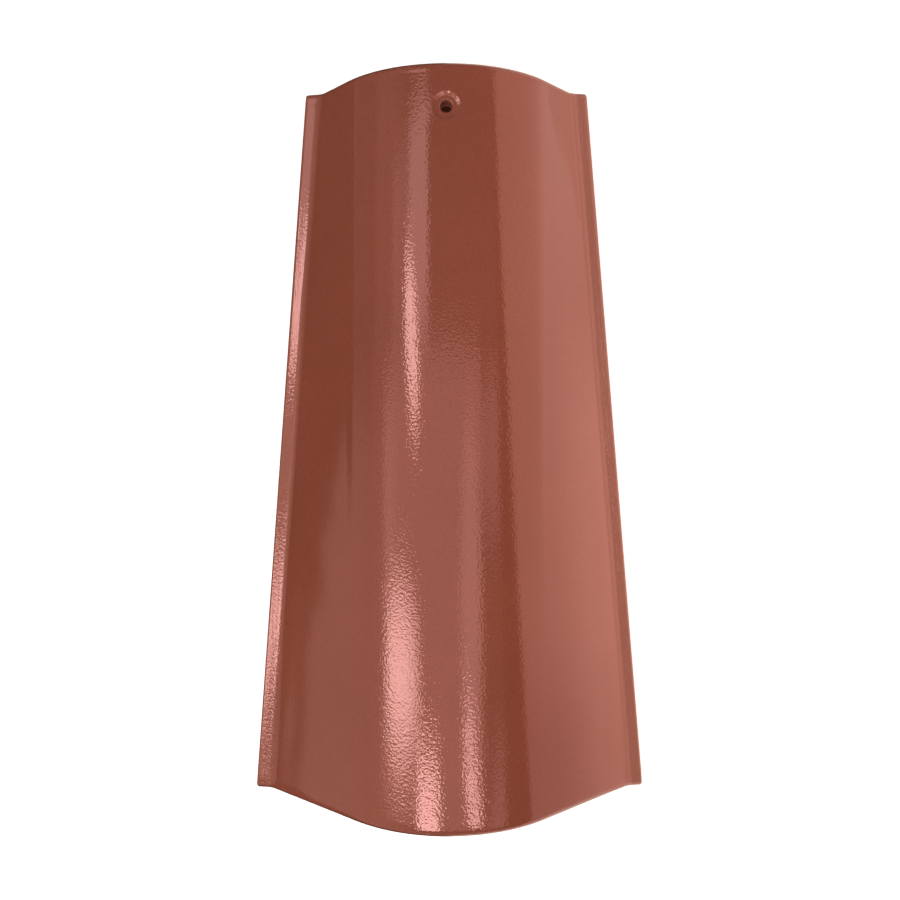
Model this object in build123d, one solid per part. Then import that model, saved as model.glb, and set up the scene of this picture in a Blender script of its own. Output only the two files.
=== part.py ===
from build123d import *

import os
from math import atan2, cos, degrees, radians, sin

# Tapered clay ridge tile: one fired piece, lying on its two feet with the arch upwards.
#
# The tile is a shell that tapers from a wide tail, the end that shows on the roof, to a narrow head, which the
# tail of the next tile laps over. Across, it is a round crown, two straight flanks and two outward feet, whose
# ledges fall a little towards the outside so that water runs off. The nail hole near the head has a dished seat.
#
# Frame: millimetres, +Z up, +Y from the tail to the head, +X to the right when looking along +Y. The origin is
# at the middle of the length and of the width, on the plane that the soles of the feet stand on.

# Overall sizes
tile_length = 420.0
tail_width = 237.0
head_width = 167.5
tail_height = 78.0
head_height = 58.5

# Cross-section: the straight stretch of each flank, the wall and the feet
tail_flank = 70.0
head_flank = 22.0
wall = 12.0
foot_thickness = 12.0
ledge_width = 6.0
ledge_fall_angle = 8.0
root_radius = 8.0

# Edges: both ends are rounded above, the tail most, the lips of the feet are tight, and lower edges are broken
tail_round = 5.0
head_round = 3.0
lip_radius = 1.2
edge_break = 0.8

# Nail hole and the dished seat around it, which takes the nail's head or washer
nail_from_head = 24.0
nail_diameter = 6.5
nail_rim_round = 1.0
seat_floor_diameter = 12.5
seat_depth = 1.2
seat_flare = 1.4
seat_round = 0.8

# The middle of the crown is a plain cone that turns by this share of the tail's lean to each side
crown_middle_share = 0.75

# A face counts as level, upright or square when its normal is off by less than this
level_share = 0.01

# How far the shell is drawn through the plane of the soles before it is cut flat there
overrun = 2.0

# The direction out along a ledge, and the one straight up from it
fall = radians(ledge_fall_angle)
ledge_out = Vector(cos(fall), -sin(fall))
ledge_up = Vector(sin(fall), cos(fall))


def between_ends(tail_value, head_value, y):
    """A size that changes evenly from the tail to the head, at the station y."""
    head_share = (y + tile_length / 2) / tile_length
    return tail_value + (head_value - tail_value) * head_share


def foot_points(width):
    """The corner of the foot, the inner end of its ledge and the centre of the root curve above that."""
    corner = Vector(width / 2, foot_thickness)
    ledge_start = corner - ledge_out * ledge_width
    return corner, ledge_start, ledge_start + ledge_up * root_radius


def crown_sizes(width, height, flank):
    """The crown's radius and the flank's lean that leave this much straight flank above the root curve."""
    root_centre = foot_points(width)[-1]
    rise = height - root_centre.Y
    reach = root_centre.X
    radius = (reach**2 + rise**2 - root_radius**2 - flank**2) / 2 / (rise + root_radius)
    lean = atan2(reach, radius - rise) - atan2(flank, radius + root_radius)
    return radius, lean


def section(y, width, height, flank):
    """A cross-section as a face that stands across the tile at the station y."""
    corner, ledge_start, root_centre = foot_points(width)
    radius, lean = crown_sizes(width, height, flank)
    middle = crown_sizes(tail_width, tail_height, tail_flank)[-1] * crown_middle_share
    across = Vector(sin(lean), cos(lean))
    along = Vector(cos(lean), -sin(lean))

    def on_crown(turn, depth):
        return Vector(0, height - radius) + Vector(sin(turn), cos(turn)) * (radius - depth)

    def crown_arc(start, end, depth):
        return ThreePointArc(on_crown(start, depth), on_crown((start + end) / 2, depth), on_crown(end, depth))

    # The underside runs parallel to the crown and the flank, down to the heel of the foot
    root_start = root_centre - across * root_radius
    toe = Vector(corner.X, -overrun)
    under_end = on_crown(lean, wall)
    heel = under_end + along * ((under_end.Y + overrun) / sin(lean))

    right_side = Curve() + [
        crown_arc(middle, lean, 0),
        Line(on_crown(lean, 0), root_start),
        TangentArc(root_start, ledge_start, tangent=along),
        Line(ledge_start, corner),
        Line(corner, toe),
        Line(toe, heel),
        Line(heel, under_end),
        crown_arc(lean, middle, wall),
    ]
    left_side = mirror(right_side, about=Plane.YZ)
    middles = Curve() + [crown_arc(-middle, middle, 0), crown_arc(-middle, middle, wall)]
    outline = right_side.edges() + left_side.edges() + middles.edges()
    return Plane.XZ.offset(-y) * make_face(outline)


def tapered_shell():
    """The plain tile, drawn straight from the tail section to the head section and cut flat at the soles."""
    tail = section(-tile_length / 2, tail_width, tail_height, tail_flank)
    head = section(tile_length / 2, head_width, head_height, head_flank)
    return split(loft([tail, head], ruled=True), bisect_by=Plane.XY, keep=Keep.TOP).solid()


def end_edges(tile, place, upper):
    """The edges of an end, the first or last along the tile, that border faces looking up, or else down."""
    end = tile.faces().sort_by(Axis.Y)[place]
    way = 1 if upper else -1
    skin = [face for face in tile.faces() if face.normal_at().Z * way > level_share]
    skin_edges = [edge for face in skin for edge in face.edges()]
    return [edge for edge in end.edges() if edge in skin_edges]


def lip_edges(tile):
    """The edges round both outer sides: up from the sole, along the ledge's lip and down again."""
    upright = [face for face in tile.faces() if abs(face.normal_at().Z) < level_share]
    sides = [face for face in upright if abs(face.normal_at().X) > abs(face.normal_at().Y)]
    sole_edges = tile.faces().group_by(Axis.Z)[0].edges()
    return [edge for side in sides for edge in side.edges() if edge not in sole_edges]


def with_eased_edges(tile):
    """Rounds both ends over the top, then the lips of the feet, and breaks the lower edges."""
    tile = tile.fillet(tail_round, end_edges(tile, 0, upper=True))
    tile = tile.fillet(head_round, end_edges(tile, -1, upper=True))
    tile = tile.fillet(lip_radius, lip_edges(tile))
    lower_edges = end_edges(tile, 0, upper=False) + end_edges(tile, -1, upper=False)
    sole_edges = tile.faces().group_by(Axis.Z)[0].edges()
    lower_edges += [edge for edge in sole_edges if edge not in lower_edges]
    return tile.chamfer(edge_break, None, lower_edges)


def nail_seat(y, crest):
    """The dish to sink into the crest: a flat floor along the crest's fall and a wall that flares out above it."""
    floor_radius = seat_floor_diameter / 2
    tall = seat_depth + overrun
    top_radius = floor_radius + seat_flare * tall / seat_depth
    crest_fall = degrees(atan2(tail_height - head_height, tile_length))
    standing = (Align.CENTER, Align.CENTER, Align.MIN)
    dish = Pos(0, 0, -seat_depth) * Cone(floor_radius, top_radius, tall, align=standing)
    return Pos(0, y, crest) * Rot(X=-crest_fall) * dish


def with_nail_hole(tile):
    """Sinks the seat into the crest near the head and punches the nail hole straight down through its floor."""
    y = tile_length / 2 - nail_from_head
    crest = between_ends(tail_height, head_height, y)
    seat = nail_seat(y, crest)
    sunk = (tile - seat).solid()
    sunk = sunk.fillet(seat_round, new_edges(tile, seat, combined=sunk))
    punch = Pos(0, y, crest) * Cylinder(nail_diameter / 2, 2 * (wall + overrun))
    punched = (sunk - punch).solid()
    rims = new_edges(sunk, punch, combined=punched)
    return punched.fillet(nail_rim_round, rims.group_by(Axis.Z)[-1])


os.makedirs("parts", exist_ok=True)
export_step(with_nail_hole(with_eased_edges(tapered_shell())), "parts/ridge_tile.step")
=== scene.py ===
"""A glazed clay ridge tile lying on a pale floor, seen from straight above.

The frame is the CAD part's: metres, +Z up, +Y from the wide tail to the narrow head. The tile's mesh is drawn
anew from the part's own sizes, because its long curves have to mirror the lamps cleanly.
"""

import math

import bmesh
import bpy
from mathutils import Matrix, Vector, noise
from mathutils.bvhtree import BVHTree


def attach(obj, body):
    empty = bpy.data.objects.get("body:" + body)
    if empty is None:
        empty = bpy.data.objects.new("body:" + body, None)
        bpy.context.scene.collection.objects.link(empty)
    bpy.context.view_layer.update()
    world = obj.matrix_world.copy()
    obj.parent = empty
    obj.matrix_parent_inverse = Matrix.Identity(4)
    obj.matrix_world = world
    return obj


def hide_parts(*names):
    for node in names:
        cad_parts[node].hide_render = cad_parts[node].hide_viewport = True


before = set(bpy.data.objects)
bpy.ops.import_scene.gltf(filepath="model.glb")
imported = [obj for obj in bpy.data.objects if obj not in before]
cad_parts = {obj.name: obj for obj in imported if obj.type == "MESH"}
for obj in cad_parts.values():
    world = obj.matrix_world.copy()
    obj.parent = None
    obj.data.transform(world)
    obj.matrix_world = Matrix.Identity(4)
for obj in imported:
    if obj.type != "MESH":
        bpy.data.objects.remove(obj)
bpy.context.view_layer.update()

MM = 0.001
UP = Vector((0, 0, 1))
ALONG_TILE = Vector((0, 1, 0))

# Points closer than this are one point, and what is nearer than this to a level counts as lying on it
CLOSE = 0.01 * MM
NEAR = 0.1 * MM

# How much of a face's normal has to point up or down, or squarely one way, for the face to count as such
LEVEL_SHARE = 0.01
SQUARE_SHARE = 0.99

# The tile's sizes, as in the part's source; each end also says which way along the tile it looks
TILE_LENGTH = 420 * MM
TAIL = {"y": -TILE_LENGTH / 2, "way": -1, "width": 237 * MM, "height": 78 * MM, "flank": 70 * MM,
        "round": 5 * MM, "round_steps": 7}
HEAD = {"y": TILE_LENGTH / 2, "way": 1, "width": 167.5 * MM, "height": 58.5 * MM, "flank": 22 * MM,
        "round": 3 * MM, "round_steps": 5}
WALL = 12 * MM
FOOT_THICKNESS = 12 * MM
LEDGE_WIDTH = 6 * MM
LEDGE_FALL = math.radians(8)
ROOT_RADIUS = 8 * MM
LIP_RADIUS = 1.2 * MM
EDGE_BREAK = 0.8 * MM

# The nail hole and the dished seat around it, whose wall the glaze softens
NAIL_Y = TILE_LENGTH / 2 - 24 * MM
NAIL_RADIUS = 3.25 * MM
NAIL_RIM_ROUND = 1 * MM
SEAT_FLOOR_RADIUS = 5.85 * MM
SEAT_DEPTH = 1.2 * MM
SEAT_FLARE = 2.2 * MM
SEAT_ROUND = 0.6 * MM
SEAT_APRON = 10.2 * MM

# How finely each stretch of the section is divided, and the rows along the tile
CROWN_STEPS = 24
FLANK_STEPS = 16
ROOT_STEPS = 7
LEDGE_STEPS = 3
SOLE_STEPS = 4
LIP_STEPS = 3
BREAK_STEPS = 2
END_CUTS = 2
ROW_PITCH = 4 * MM
SEAT_PATCH_COLUMNS = 5
SEAT_PATCH_ROWS = 3
SEAT_STEPS = 4 * (SEAT_PATCH_COLUMNS + SEAT_PATCH_ROWS)
CROWN_PATCH = 13.6 * MM
UNDER_PATCH = 11.5 * MM

# How far firing sinks the upper skin: long sags, shorter ripples and a hair all over, which keeps to the solid's box
SAG = 0.45 * MM
SAG_PITCH = 80 * MM
SAG_STRETCH = 0.6
SAG_SEED = Vector((3.1, 7.7, 1.3))
RIPPLE = 0.12 * MM
RIPPLE_PITCH = 26 * MM
RIPPLE_SEED = Vector((5.9, 2.2, 8.4))
SKIN_ALLOWANCE = 0.05 * MM

# The glaze is thin where the skin is steeper than these shares of its normal, and thick in the nail's seat
GLAZE_LEAN = (0.78, 0.9)
SEAT_GLAZE = 1.6

# Colours of the glaze, of the lighter glaze on its ledges and of the clay below
GLAZE_DARK = (0.205, 0.0525, 0.0302, 1)
GLAZE_LIGHT = (0.239, 0.0625, 0.0368, 1)
LIGHTER_LEDGE_GLAZE = (0.3, 0.12, 0.09, 1)
CLAY_DARK = (0.36, 0.13, 0.07, 1)
CLAY_LIGHT = (0.5, 0.2, 0.115, 1)
MIRROR_TINT = (1.0, 0.52, 0.49, 1)

# The camera, as fitted to the photograph
CAMERA_PLACE = Vector((1.25, 15.65, 537.1)) * MM
CAMERA_TIP = math.radians(-2)
CAMERA_TURN = math.radians(-0.263)
CAMERA_ANGLE = math.radians(54.71)

# The stage: the floor's dark spot of painted shade that shows through the nail hole, the mats and the card along the
# right side
BLACK = (0, 0, 0, 1)
FLOOR_SIZE = 8
FLOOR_COLOUR = (0.8, 0.8, 0.8, 1)
FLOOR_GLOW = (0.5, 0.5, 0.5, 1)
# Painted shade: a dark red-brown spot on the floor, where the floor shows through the nail hole
PAINTED_SHADE_PLACE = (0, 0.2054, 0)
PAINTED_SHADE_COLOUR = (0.08, 0.025, 0.018, 1)
ROOM_SHADE = (0.2, 0.2, 0.2, 1)
WALL_SHADE = (1.2, 1.12, 1.02, 1)
SCRIM_COLOUR = (1, 0.92, 0.83)
MAT_LENGTH = 1.9
MAT_PLACE = Vector((0, 0.05, 0.5 * MM))
LEFT_MAT_COLOUR = (0.02, 0.02, 0.02, 1)
RIGHT_MAT_COLOUR = (0.85, 0.7, 0.62, 1)
CARD_SIZE = (0.24, 0.95, 1)
CARD_PLACE = (0.2, 0.025, 0.12)
CARD_GLOW = (3.2, 2.68, 2.42, 1)


# Small helpers for drawing chains of edges in a cross-section

def at(x, y, z):
    """A point, or a way, in the tile's frame."""
    return Vector((x, y, z))


def run_to(bm, vert, point, steps=1):
    """Carries a chain on from vert in a straight line to point."""
    step = (point - vert.co) / steps
    for _ in range(steps):
        vert = bmesh.ops.extrude_vert_indiv(bm, verts=[vert])["verts"][0]
        bmesh.ops.translate(bm, verts=[vert], vec=step)
    return vert


def swing(bm, vert, centre, angle, steps):
    """Carries a chain on from vert round centre; a positive angle turns from above towards the right."""
    turned = bmesh.ops.spin(bm, geom=[vert], cent=centre, axis=ALONG_TILE, angle=angle, steps=steps)
    return next(item for item in turned["geom_last"] if isinstance(item, bmesh.types.BMVert))


def draw_half_section(bm, end):
    """The right half of an end's cross-section, from the crest out to the foot and back below the crown."""
    y = end["y"]
    ledge_out = at(math.cos(LEDGE_FALL), 0, -math.sin(LEDGE_FALL))
    ledge_up = at(math.sin(LEDGE_FALL), 0, math.cos(LEDGE_FALL))
    corner = at(end["width"] / 2, y, FOOT_THICKNESS)
    root_centre = corner - ledge_out * LEDGE_WIDTH + ledge_up * ROOT_RADIUS

    # The crown is the arc of the stated height that leaves this much straight flank above the root curve
    rise = end["height"] - root_centre.z
    reach = root_centre.x
    spare = reach**2 + rise**2 - ROOT_RADIUS**2 - end["flank"] ** 2
    radius = spare / 2 / (rise + ROOT_RADIUS)
    lean = math.atan2(reach, radius - rise) - math.atan2(end["flank"], radius + ROOT_RADIUS)
    across = at(math.sin(lean), 0, math.cos(lean))
    down_flank = at(math.cos(lean), 0, -math.sin(lean))
    crown_centre = at(0, y, end["height"] - radius)
    under_end = crown_centre + across * (radius - WALL)

    vert = bm.verts.new(at(0, y, end["height"]))
    vert = swing(bm, vert, crown_centre, lean, CROWN_STEPS)
    vert = run_to(bm, vert, root_centre - across * ROOT_RADIUS, FLANK_STEPS)
    vert = swing(bm, vert, root_centre, LEDGE_FALL - lean, ROOT_STEPS)
    vert = run_to(bm, vert, corner, LEDGE_STEPS)
    vert = run_to(bm, vert, at(corner.x, y, 0))
    vert = run_to(bm, vert, under_end + down_flank * (under_end.z / math.sin(lean)), SOLE_STEPS)
    vert = run_to(bm, vert, under_end, FLANK_STEPS)
    swing(bm, vert, crown_centre, -lean, CROWN_STEPS)


def edges_between(face, others):
    """The edges that a face shares with any of the others."""
    return [edge for edge in face.edges if any(other in others for other in edge.link_faces)]


def ease(bm, edges, offset, segments):
    """Rounds edges over by the given offset."""
    bmesh.ops.bevel(bm, geom=edges, offset=offset, offset_type="OFFSET", affect="EDGES", segments=segments,
                    profile=0.5, material=-1, clamp_overlap=False)


def end_face(bm, end):
    """The flat face that closes an end."""
    square = [face for face in bm.faces if face.normal.y * end["way"] > SQUARE_SHARE]
    return max(square, key=lambda face: face.calc_area())


def draw_shell(bm):
    """The plain tile: both end sections, bridged, mirrored to the left and closed at the ends."""
    draw_half_section(bm, TAIL)
    draw_half_section(bm, HEAD)
    bmesh.ops.bridge_loops(bm, edges=bm.edges[:])
    everything = bm.verts[:] + bm.edges[:] + bm.faces[:]
    bmesh.ops.mirror(bm, geom=everything, matrix=Matrix.Identity(4), merge_dist=CLOSE, axis="X")
    bmesh.ops.remove_doubles(bm, verts=bm.verts[:], dist=CLOSE)
    for end in (TAIL, HEAD):
        rim = [edge for edge in bm.edges if edge.is_boundary and abs(edge.verts[0].co.y - end["y"]) < MM]
        bmesh.ops.edgeloop_fill(bm, edges=rim)
    bmesh.ops.recalc_face_normals(bm, faces=bm.faces[:])
    bm.normal_update()


def ease_edges(bm):
    """Rounds both ends over the top, then the lips of the feet, and breaks the lower edges."""
    for end in (TAIL, HEAD):
        upper = {face for face in bm.faces if face.normal.z > LEVEL_SHARE}
        ease(bm, edges_between(end_face(bm, end), upper), end["round"], end["round_steps"])
        bm.normal_update()
    sides = [face for face in bm.faces if abs(face.normal.x) > SQUARE_SHARE]
    outer = {edge for side in sides for edge in side.edges if any(face not in sides for face in edge.link_faces)}
    lips = [edge for edge in outer if max(vert.co.z for vert in edge.verts) > NEAR]
    ease(bm, lips, LIP_RADIUS, LIP_STEPS)
    bm.normal_update()
    lower = {face for face in bm.faces if face.normal.z < -LEVEL_SHARE}
    soles = {face for face in lower if face.normal.z < -SQUARE_SHARE and face.calc_center_median().z < NEAR}
    broken = {edge for sole in soles for edge in sole.edges if len(set(edge.link_faces) & soles) == 1}
    for end in (TAIL, HEAD):
        broken.update(edges_between(end_face(bm, end), lower))
    ease(bm, list(broken), EDGE_BREAK, BREAK_STEPS)
    bm.normal_update()


def divide_lengthwise(bm):
    """Cuts rows across the tile, one of them through the nail hole."""
    first = math.ceil((NAIL_Y - (TAIL["y"] + TAIL["round"])) / ROW_PITCH) - 1
    last = math.ceil((HEAD["y"] - HEAD["round"] - NAIL_Y) / ROW_PITCH) - 1
    for row in range(-first, last + 1):
        everything = bm.verts[:] + bm.edges[:] + bm.faces[:]
        bmesh.ops.bisect_plane(bm, geom=everything, dist=CLOSE / 10, plane_co=at(0, NAIL_Y + row * ROW_PITCH, 0),
                               plane_no=ALONG_TILE)


def divide_end_faces(bm):
    """Replaces each end's one flat face by rows that run from its upper rim to its lower rim."""
    for end in (TAIL, HEAD):
        face = end_face(bm, end)
        rims = {1: [], 0: [], -1: []}
        for edge in face.edges:
            rise = next(other for other in edge.link_faces if other != face).normal.z
            rims[(rise > LEVEL_SHARE) - (rise < -LEVEL_SHARE)].append(edge)
        bmesh.ops.delete(bm, geom=[face], context="FACES_ONLY")
        across = bmesh.ops.bridge_loops(bm, edges=rims[1] + rims[-1])["edges"]
        bmesh.ops.subdivide_edges(bm, edges=list(set(across + rims[0])), cuts=END_CUTS, use_grid_fill=True)
    bm.normal_update()


def sink_seat(bm):
    """Opens the crown and the underside round the nail hole and sets a turned seat with its hole between them."""
    skin = BVHTree.FromBMesh(bm)
    crest = skin.ray_cast(at(0, NAIL_Y, 1), -UP)[0].z
    for patch, looks_up in ((CROWN_PATCH, True), (UNDER_PATCH, False)):
        opened = [face for face in bm.faces if (face.normal.z > 0) == looks_up
                  and abs(face.calc_center_median().x) < patch
                  and abs(face.calc_center_median().y - NAIL_Y) < SEAT_PATCH_ROWS * ROW_PITCH]
        bmesh.ops.delete(bm, geom=opened, context="FACES")

    # The seat is drawn as half a section, from its apron inwards, and turned round the hole's axis
    slope = math.atan2(SEAT_DEPTH, SEAT_FLARE)
    floor = crest - SEAT_DEPTH
    lip_start = SEAT_FLOOR_RADIUS + SEAT_FLARE + SEAT_ROUND * math.tan(slope / 2)
    floor_start = SEAT_FLOOR_RADIUS - SEAT_ROUND * math.tan(slope / 2)
    root_centre = at(floor_start, NAIL_Y, floor + SEAT_ROUND)
    rim_start = at(NAIL_RADIUS + NAIL_RIM_ROUND, NAIL_Y, floor)
    drawn_before = set(bm.verts)
    vert = bm.verts.new(at(SEAT_APRON, NAIL_Y, crest))
    vert = run_to(bm, vert, at(lip_start, NAIL_Y, crest))
    vert = swing(bm, vert, at(lip_start, NAIL_Y, crest - SEAT_ROUND), -slope, 4)
    vert = run_to(bm, vert, root_centre + at(math.sin(slope), 0, -math.cos(slope)) * SEAT_ROUND)
    vert = swing(bm, vert, root_centre, slope, 4)
    vert = run_to(bm, vert, rim_start, 2)
    vert = swing(bm, vert, rim_start - UP * NAIL_RIM_ROUND, -math.pi / 2, 6)
    run_to(bm, vert, at(NAIL_RADIUS, NAIL_Y, crest - WALL), 5)
    section = [vert for vert in bm.verts if vert not in drawn_before]
    section += [edge for edge in bm.edges if edge.verts[0] not in drawn_before]
    bmesh.ops.spin(bm, geom=section, cent=at(0, NAIL_Y, 0), axis=UP, angle=2 * math.pi, steps=SEAT_STEPS,
                   use_merge=True)

    # Its floor follows the crest's fall, and its apron settles on the crown, which also falls away to both sides
    crest_fall = (TAIL["height"] - HEAD["height"]) / TILE_LENGTH
    for vert in bm.verts:
        if vert in drawn_before:
            continue
        out = (vert.co.xy - Vector((0, NAIL_Y))).length
        share = min(max((out - floor_start) / (lip_start - floor_start), 0), 1)
        if vert.co.z < crest - WALL + NEAR:
            vert.co.z = skin.ray_cast(at(vert.co.x, vert.co.y, -1), UP)[0].z
        else:
            crown_fall = skin.ray_cast(at(vert.co.x, vert.co.y, 1), -UP)[0].z - crest
            vert.co.z += crown_fall * share - crest_fall * (vert.co.y - NAIL_Y) * (1 - share)
    open_edges = [edge for edge in bm.edges if edge.is_boundary]
    middle = crest - WALL / 2
    bmesh.ops.bridge_loops(bm, edges=[edge for edge in open_edges if edge.verts[0].co.z > middle])
    bmesh.ops.bridge_loops(bm, edges=[edge for edge in open_edges if edge.verts[0].co.z < middle])
    bmesh.ops.recalc_face_normals(bm, faces=bm.faces[:])
    bm.normal_update()


def settle(value, low, high):
    """A smooth step from 0 at low to 1 at high."""
    share = min(max((value - low) / (high - low), 0), 1)
    return share * share * (3 - 2 * share)


def fire(bm):
    """Lets the shell sag and ripple a little, always inwards, as clay does on its way through the kiln."""
    moves = []
    for vert in bm.verts:
        upper = settle(vert.normal.z, 0.15, 0.6) * settle(vert.co.z, 13 * MM, 26 * MM)
        stretched = at(vert.co.x, vert.co.y * SAG_STRETCH, vert.co.z)
        sag = 0.5 + 0.5 * noise.noise(stretched / SAG_PITCH + SAG_SEED)
        ripple = 0.5 + 0.5 * noise.noise(vert.co / RIPPLE_PITCH + RIPPLE_SEED)
        depth = SKIN_ALLOWANCE + upper * (SAG * sag + RIPPLE * ripple)
        moves.append(vert.normal * -depth)
    for vert, move in zip(bm.verts, moves):
        vert.co += move
    lift = -min(vert.co.z for vert in bm.verts)
    bmesh.ops.translate(bm, verts=bm.verts[:], vec=UP * lift)


def mark_bare_clay(bm):
    """Stores how far each point lies from the upper skin, as a share of the wall: the glaze only reaches so far."""
    upper = bm.copy()
    bmesh.ops.delete(upper, geom=[face for face in upper.faces if face.normal.z < 0.2], context="FACES")
    skin = BVHTree.FromBMesh(upper)
    upper.free()
    depth = bm.verts.layers.float.new("depth")
    for vert in bm.verts:
        vert[depth] = min(skin.find_nearest(vert.co)[3] / WALL, 1)


def mark_glaze(bm):
    """Stores where the glaze stays thick, off the steep flanks, and how far in from its foot's side each point is."""
    thick = bm.verts.layers.float.new("thick")
    inset = bm.verts.layers.float.new("inset")
    for vert in bm.verts:
        head_share = (vert.co.y - TAIL["y"]) / TILE_LENGTH
        width = TAIL["width"] + (HEAD["width"] - TAIL["width"]) * head_share
        in_seat = math.hypot(vert.co.x, vert.co.y - NAIL_Y) < SEAT_APRON
        vert[thick] = SEAT_GLAZE if in_seat else settle(vert.normal.z, *GLAZE_LEAN)
        vert[inset] = width / 2 - abs(vert.co.x)


def build_tile():
    """The whole tile as one object."""
    bm = bmesh.new()
    draw_shell(bm)
    ease_edges(bm)
    divide_lengthwise(bm)
    divide_end_faces(bm)
    sink_seat(bm)
    fire(bm)
    bm.normal_update()
    mark_bare_clay(bm)
    mark_glaze(bm)
    mesh = bpy.data.meshes.new("glazed_tile")
    bm.to_mesh(mesh)
    bm.free()
    tile = bpy.data.objects.new("glazed_tile", mesh)
    bpy.context.scene.collection.objects.link(tile)
    mesh.shade_smooth()
    return tile


# Shader nodes

class Value:
    """A number that varies over a surface; sums on it add their own nodes."""

    def __init__(self, nodes, socket):
        self.nodes = nodes
        self.socket = socket

    def sum(self, operation, first, second):
        return self.nodes.value("Math", {"operation": operation}, {0: first, 1: second})

    def __add__(self, other):
        return self.sum("ADD", self, other)

    def __radd__(self, other):
        return self.sum("ADD", other, self)

    def __sub__(self, other):
        return self.sum("SUBTRACT", self, other)

    def __rsub__(self, other):
        return self.sum("SUBTRACT", other, self)

    def __mul__(self, other):
        return self.sum("MULTIPLY", self, other)

    def __rmul__(self, other):
        return self.sum("MULTIPLY", other, self)


class Nodes:
    """The nodes of a material or of the world."""

    def __init__(self, owner):
        owner.use_nodes = True
        self.tree = owner.node_tree
        self.tree.nodes.clear()

    def node(self, kind, settings=None, sockets=None):
        """Adds a node, sets it up, then gives its sockets their values or links."""
        node = self.tree.nodes.new("ShaderNode" + kind)
        for name, setting in (settings or {}).items():
            setattr(node, name, setting)
        for name, given in (sockets or {}).items():
            if isinstance(given, Value):
                self.tree.links.new(given.socket, node.inputs[name])
            else:
                node.inputs[name].default_value = given
        return node

    def value(self, kind, settings=None, sockets=None, output=0):
        return Value(self, self.node(kind, settings, sockets).outputs[output])

    def axes(self, place, names):
        """The named coordinates of a place."""
        return [self.value("SeparateXYZ", {}, {0: place}, output=axis) for axis in names]

    def size(self, value):
        """A value without its sign."""
        return self.value("Math", {"operation": "ABSOLUTE"}, {0: value})

    def distance(self, first, second):
        return self.value("VectorMath", {"operation": "DISTANCE"}, {0: first, 1: second}, output="Value")

    def step(self, value, low, high):
        """A smooth step from 0 at low to 1 at high."""
        return self.value("MapRange", {"interpolation_type": "SMOOTHSTEP"},
                          {"Value": value, "From Min": low, "From Max": high})

    def mix(self, share, first, second):
        """A colour that goes from the first to the second."""
        return self.value("Mix", {"data_type": "RGBA"}, {0: share, 6: first, 7: second}, output=2)


def glazed_clay():
    """Brick-red glaze with an orange-peel skin over red clay, which is bare on the underside."""
    material = bpy.data.materials.new("glazed_clay")
    nodes = Nodes(material)
    place = nodes.value("TexCoord", output="Object")
    x, y = nodes.axes(place, "XY")
    depth, thick, inset = (nodes.value("Attribute", {"attribute_name": name}, output="Fac")
                           for name in ("depth", "thick", "inset"))

    def cloud(scale, detail, roughness=0.5):
        return nodes.value("TexNoise", {}, {"Vector": place, "Scale": scale, "Detail": detail, "Roughness": roughness})

    # The glaze thins out in a ragged line a little way down the edges
    bare = nodes.step(depth + 0.3 * cloud(70, 4), 0.62, 0.72)
    ledge = 1 - nodes.step(inset, 7 * MM, 11 * MM)
    right = nodes.step(x, -10 * MM, 10 * MM)
    rim = nodes.step(nodes.size(y), 204.5 * MM, 207.5 * MM)

    # Orange peel on the glaze, sandy grit on the clay, drag lines along the ledges and beads of glaze on the left one
    peel = cloud(760, 0.8) * (0.12 + 0.88 * thick) * (1 - 0.4 * nodes.step(y, -50 * MM, 150 * MM))
    grit = cloud(900, 5, 0.7)
    drawn = nodes.value("CombineXYZ", {}, {"X": inset, "Y": y * 0.04, "Z": x * 0.01})
    lines = nodes.value("TexNoise", {}, {"Vector": drawn, "Scale": 700, "Detail": 2.0})
    beaded = nodes.step(inset, 3 * MM, 4 * MM) * (1 - nodes.step(y, -160 * MM, -100 * MM)) * (1 - right)
    beads = nodes.step(cloud(760, 1), 0.48, 0.66) * beaded
    glaze_height = peel + ledge * (lines * 0.7 + beads * 1.6) + rim * cloud(420, 2) * 2
    height = glaze_height * (1 - bare) + grit * bare * 1.6
    bump = nodes.value("Bump", {}, {"Strength": 1.0, "Distance": 0.1 * MM, "Height": height}, output="Normal")

    # The glaze is patchy and its ledges are lighter, the right one most
    patchy = 0.5 * nodes.step(cloud(14, 3), 0.3, 0.7) + 0.5 * nodes.step(cloud(620, 2), 0.3, 0.7)
    clean_glaze = nodes.mix(patchy, GLAZE_DARK, GLAZE_LIGHT)
    glaze = nodes.mix(ledge * (0.15 + 0.5 * right), clean_glaze, LIGHTER_LEDGE_GLAZE)
    clay = nodes.mix(cloud(160, 6, 0.7), CLAY_DARK, CLAY_LIGHT)

    # Bare clay is dull, and so is the wall of the nail hole
    flat_place = nodes.value("CombineXYZ", {}, {"X": x, "Y": y})
    in_hole = 1 - nodes.step(nodes.distance(flat_place, (0, NAIL_Y, 0)), 3.3 * MM, 3.7 * MM)
    dull = nodes.value("Math", {"operation": "MAXIMUM"}, {0: bare, 1: in_hole})
    roughness = (0.05 + 0.03 * cloud(40, 3) + 0.02 * ledge) * (1 - dull) + 0.9 * dull
    shader = nodes.value("BsdfPrincipled", {}, {"Base Color": nodes.mix(bare, glaze, clay), "Roughness": roughness,
                                                "Normal": bump, "IOR": 1.7, "Specular Tint": MIRROR_TINT})
    nodes.node("OutputMaterial", {}, {"Surface": shader})
    return material


# The stage

def seen_directly(nodes):
    """1 for what the camera sees directly, in a mirror or through glass."""
    sight = [nodes.value("LightPath", output=name)
             for name in ("Is Camera Ray", "Is Glossy Ray", "Is Transmission Ray")]
    return sight[0] + sight[1] + sight[2]


def stand_on_stage(name, bm):
    """Makes an object of a shape that is drawn for the stage."""
    mesh = bpy.data.meshes.new(name)
    bm.to_mesh(mesh)
    bm.free()
    piece = bpy.data.objects.new(name, mesh)
    bpy.context.scene.collection.objects.link(piece)
    return piece


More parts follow.
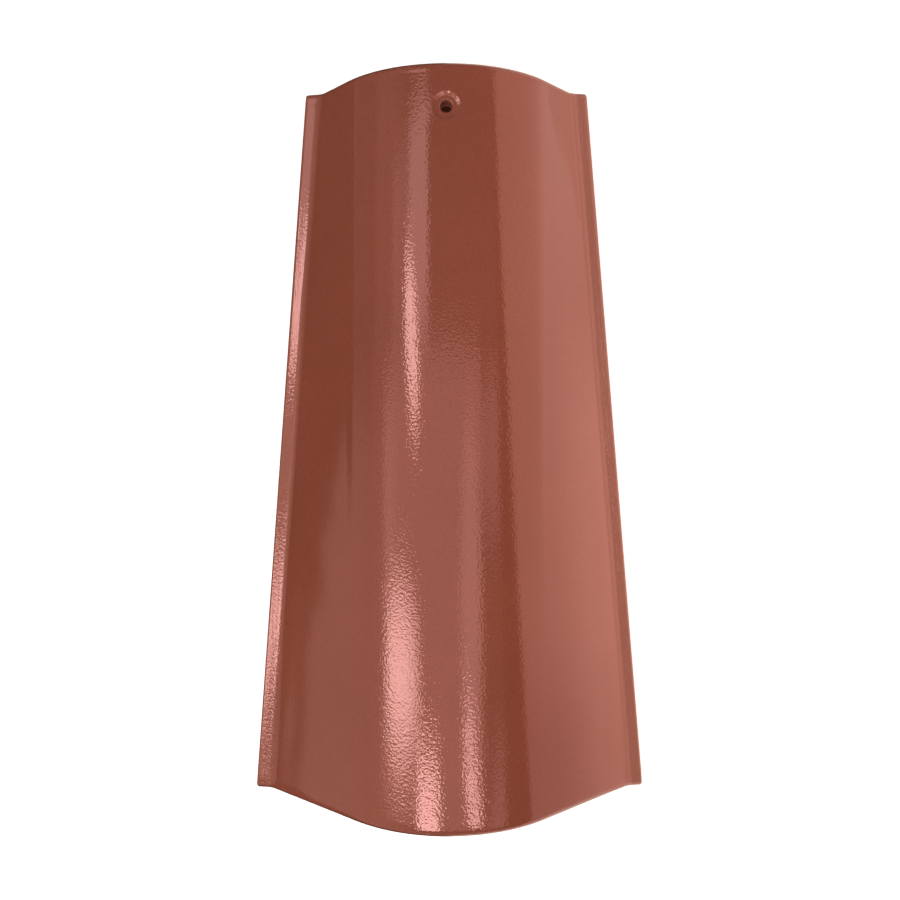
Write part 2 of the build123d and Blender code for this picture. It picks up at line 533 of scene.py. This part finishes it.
def give_matt_finish(piece, nodes, material, colour, glow, strength=1.0):
    """Closes a material with a matt, glowing surface and gives it to a piece of the stage."""
    shader = nodes.value("BsdfPrincipled", {}, {"Base Color": colour, "Roughness": 1.0, "Specular IOR Level": 0.0,
                                                "Emission Color": glow, "Emission Strength": strength})
    nodes.node("OutputMaterial", {}, {"Surface": shader})
    piece.data.materials.append(material)


def lay_floor():
    """A white floor that keeps the shade under the arch; where it shows through the nail hole it bears a dark
    red-brown spot of painted shade.
    """
    bm = bmesh.new()
    bmesh.ops.create_grid(bm, x_segments=1, y_segments=1, size=FLOOR_SIZE)
    floor = stand_on_stage("floor", bm)
    material = bpy.data.materials.new("white_floor")
    nodes = Nodes(material)
    place = nodes.value("TexCoord", output="Object")
    across, along = (nodes.size(axis) for axis in nodes.axes(place, "XY"))
    under_arch = (1 - nodes.step(across, 30 * MM, 80 * MM)) * (1 - nodes.step(along, 150 * MM, 205 * MM))
    # The spot is painted shade: there the floor's colour turns dark red-brown and it gets no glow
    painted_shade_spot = 1 - nodes.step(nodes.distance(place, PAINTED_SHADE_PLACE), 9 * MM, 14 * MM)
    glow = nodes.mix(seen_directly(nodes) * (1 - under_arch) * (1 - painted_shade_spot), BLACK, FLOOR_GLOW)
    give_matt_finish(floor, nodes, material, nodes.mix(painted_shade_spot, FLOOR_COLOUR, PAINTED_SHADE_COLOUR), glow)


def hang_lamp(name, place, long_way, size, radiance, shape="RECTANGLE", colour=(1, 1, 1)):
    """A soft lamp that faces down, with its first side along long_way."""
    data = bpy.data.lights.new(name, "AREA")
    data.shape = shape
    data.size, data.size_y = size
    data.color = colour
    area = size[0] * size[1] * (math.pi / 4 if shape == "ELLIPSE" else 1)
    data.energy = 4 * area * radiance
    lamp = bpy.data.objects.new(name, data)
    side = Vector(long_way).normalized()
    lamp.matrix_world = Matrix.Translation(place) @ Matrix((side, UP.cross(side), UP)).transposed().to_4x4()
    lamp.visible_camera = False
    bpy.context.scene.collection.objects.link(lamp)


def light_studio():
    """Softboxes on the left and in front, dim ones on the right and a wide dim scrim."""
    hang_lamp("left_front_box", (-1.36, -0.53, 1.57), (1, 0.1, 0), (1.4, 0.51), 3.9, "ELLIPSE")
    hang_lamp("left_front_core", (-1.38, -0.535, 1.56), (1, 0.1, 0), (1.0, 0.28), 2.5, "ELLIPSE")
    hang_lamp("left_back_box", (-0.94, 0.39, 1.57), (-0.65, 0.76, 0), (0.58, 0.29), 6.0, "ELLIPSE")
    hang_lamp("back_box", (-0.74, 0.67, 1.57), (1, 0, 0), (0.56, 0.6), 1.1)
    hang_lamp("back_scrim", (-1.1, 0.67, 1.58), (1, 0, 0), (1.28, 0.62), 0.5)
    hang_lamp("front_box", (-0.47, -0.86, 1.57), (1, 0, 0), (0.5, 0.44), 7.2)
    hang_lamp("front_right_box", (0.53, -0.74, 1.57), (0.66, -0.75, 0), (0.6, 0.19), 5.4, "ELLIPSE")
    hang_lamp("overhead_box", (0.5, -0.27, 1.57), (0, 1, 0), (0.85, 0.5), 0.7, "ELLIPSE")
    hang_lamp("scrim", (-0.74, -0.325, 1.6), (1, 0, 0), (3.12, 1.35), 0.92, colour=SCRIM_COLOUR)
    hang_lamp("right_box", (1.2, 0.08, 1.57), (1, 0, 0), (0.9, 0.45), 0.6, "ELLIPSE")
    hang_lamp("right_front_box", (1.3, -1.0, 1.57), (1, 0, 0), (0.8, 0.5), 0.7, "ELLIPSE")


def paint_room():
    """A dim grey room; its left wall looks paler in mirrors, low down towards the front and higher up elsewhere."""
    world = bpy.data.worlds.new("pale_room")
    bpy.context.scene.world = world
    nodes = Nodes(world)
    x, y, z = nodes.axes(nodes.value("TexCoord", output="Generated"), "XYZ")
    left = (1 - nodes.step(x, -0.6, -0.1)) * (1 - nodes.step(z, 0.62, 0.78))
    front = 1 - nodes.step(y, -0.03, 0.15)
    upper = nodes.step(z, 0.33, 0.45)
    walls = nodes.mix(left * (0.46 * front + upper * (0.28 - 0.16 * front)), ROOM_SHADE, WALL_SHADE)
    shade = nodes.mix(seen_directly(nodes), ROOM_SHADE, walls)
    room = nodes.value("Background", {}, {"Color": shade, "Strength": 1.0})
    nodes.node("OutputWorld", {}, {"Surface": room})


def spread_mat(name, left, right, colour, glow, upstand=None):
    """A mat that only reflections see, as a studio's cards are; its left side may stand up, most at the front."""
    bm = bmesh.new()
    bmesh.ops.create_grid(bm, x_segments=1, y_segments=1, size=0.5)
    bmesh.ops.scale(bm, verts=bm.verts[:], vec=(right - left, MAT_LENGTH, 1))
    bmesh.ops.translate(bm, verts=bm.verts[:], vec=MAT_PLACE + at((left + right) / 2, 0, 0))
    if upstand:
        side = [edge for edge in bm.edges if all(vert.co.x < left + MM for vert in edge.verts)]
        raised = bmesh.ops.extrude_edge_only(bm, edges=side)["geom"]
        for vert in raised:
            if isinstance(vert, bmesh.types.BMVert):
                bmesh.ops.translate(bm, verts=[vert], vec=UP * upstand[vert.co.y > 0])
    mat = stand_on_stage(name, bm)
    material = bpy.data.materials.new(name + "_felt")
    give_matt_finish(mat, Nodes(material), material, colour, colour, glow)
    mat.visible_camera = False
    mat.visible_diffuse = False
    mat.visible_shadow = False
    mat.visible_transmission = False


def stand_card():
    """A lit card that stands along the right side: brightest at the foot, dimmer and lower towards the front."""
    bm = bmesh.new()
    bmesh.ops.create_grid(bm, x_segments=1, y_segments=1, size=0.5)
    bmesh.ops.scale(bm, verts=bm.verts[:], vec=CARD_SIZE)
    bmesh.ops.rotate(bm, verts=bm.verts[:], matrix=Matrix.Rotation(math.radians(-90), 3, "Y"))
    bmesh.ops.translate(bm, verts=bm.verts[:], vec=CARD_PLACE)
    card = stand_on_stage("right_card", bm)
    material = bpy.data.materials.new("lit_card")
    nodes = Nodes(material)
    y, z = nodes.axes(nodes.value("TexCoord", output="Object"), "YZ")
    below_top = 1 - nodes.step(z - 0.19 * y, 0.17, 0.18)
    foot = (1 - nodes.step(z, 0.01, 0.068)) * (1 - 0.55 * nodes.step(y, 0, 0.12))
    level = below_top * (0.6 + 0.3 * nodes.step(y, -0.22, -0.12) + 0.6 * foot)
    give_matt_finish(card, nodes, material, BLACK, nodes.mix(level * 0.5, BLACK, CARD_GLOW))
    card.visible_camera = False
    card.visible_shadow = False


def place_camera():
    """Straight above the tile, as in the photograph, tipped slightly towards the tail."""
    camera = bpy.data.objects.new("camera", bpy.data.cameras.new("camera"))
    tip = Matrix.Rotation(CAMERA_TIP, 4, "X") @ Matrix.Rotation(CAMERA_TURN, 4, "Z")
    camera.matrix_world = Matrix.Translation(CAMERA_PLACE) @ tip
    camera.data.angle = CAMERA_ANGLE
    bpy.context.scene.collection.objects.link(camera)
    bpy.context.scene.camera = camera


bpy.context.scene.view_settings.view_transform = "Standard"
place_camera()
lay_floor()
light_studio()
paint_room()
spread_mat("left_mat", -1.0, 0.0, LEFT_MAT_COLOUR, 0, upstand=(0.1, -0.045))
spread_mat("right_mat", 0.0, 0.195, RIGHT_MAT_COLOUR, 0.42)
stand_card()

tile = build_tile()
tile.data.materials.append(glazed_clay())
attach(tile, "root")
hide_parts("ridge_tile")
